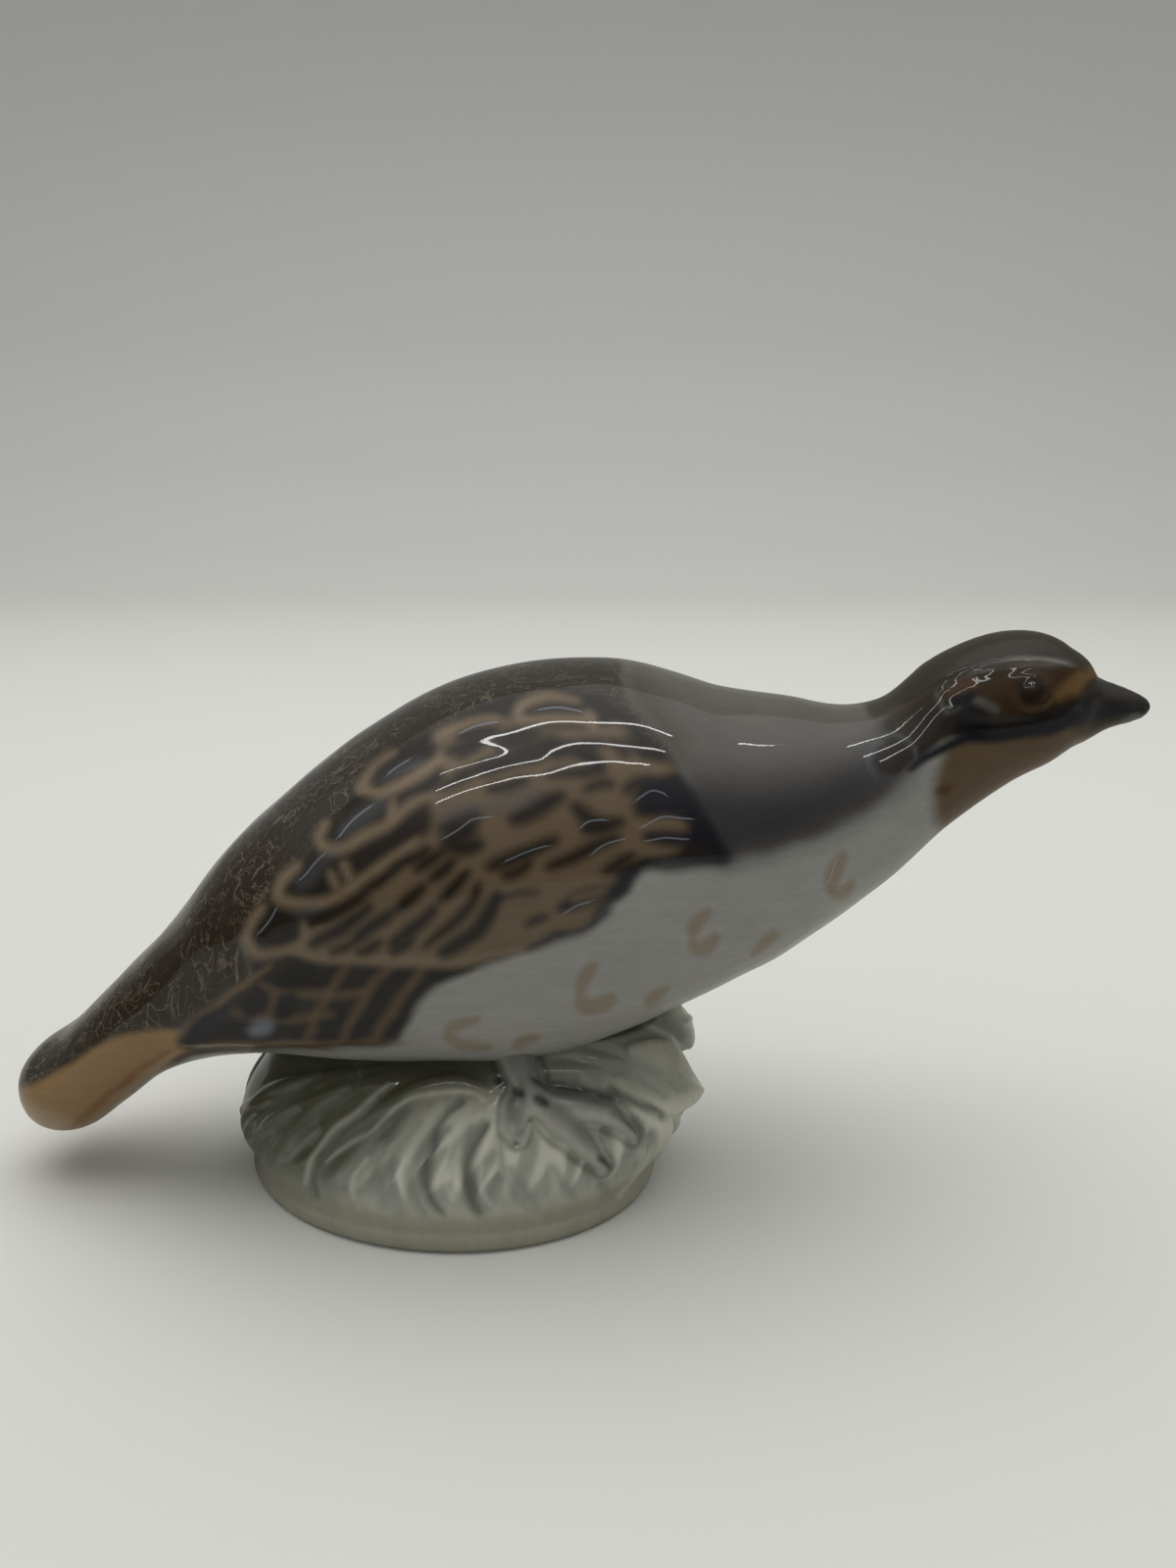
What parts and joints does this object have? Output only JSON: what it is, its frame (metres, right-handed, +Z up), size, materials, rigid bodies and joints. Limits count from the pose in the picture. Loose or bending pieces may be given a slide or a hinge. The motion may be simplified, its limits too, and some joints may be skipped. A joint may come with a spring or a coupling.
{
  "type": "partridge figurine",
  "caption": "Glazed porcelain figurine of a partridge stooping forward on an oval grassy base, to stand on a shelf.",
  "frame": {"origin": "on the ground under the middle of the bird's length and width", "axes": "+X towards the beak, along the bird; +Z up from the base; +Y to the bird's left"},
  "size_m": [0.2393, 0.0792, 0.1182],
  "materials": {
    "glazed_porcelain": "clear gloss glaze over underglaze painting"
  },
  "bodies": {
    "root": {"partridge_figurine": "glazed_porcelain"}
  },
  "joints": []
}
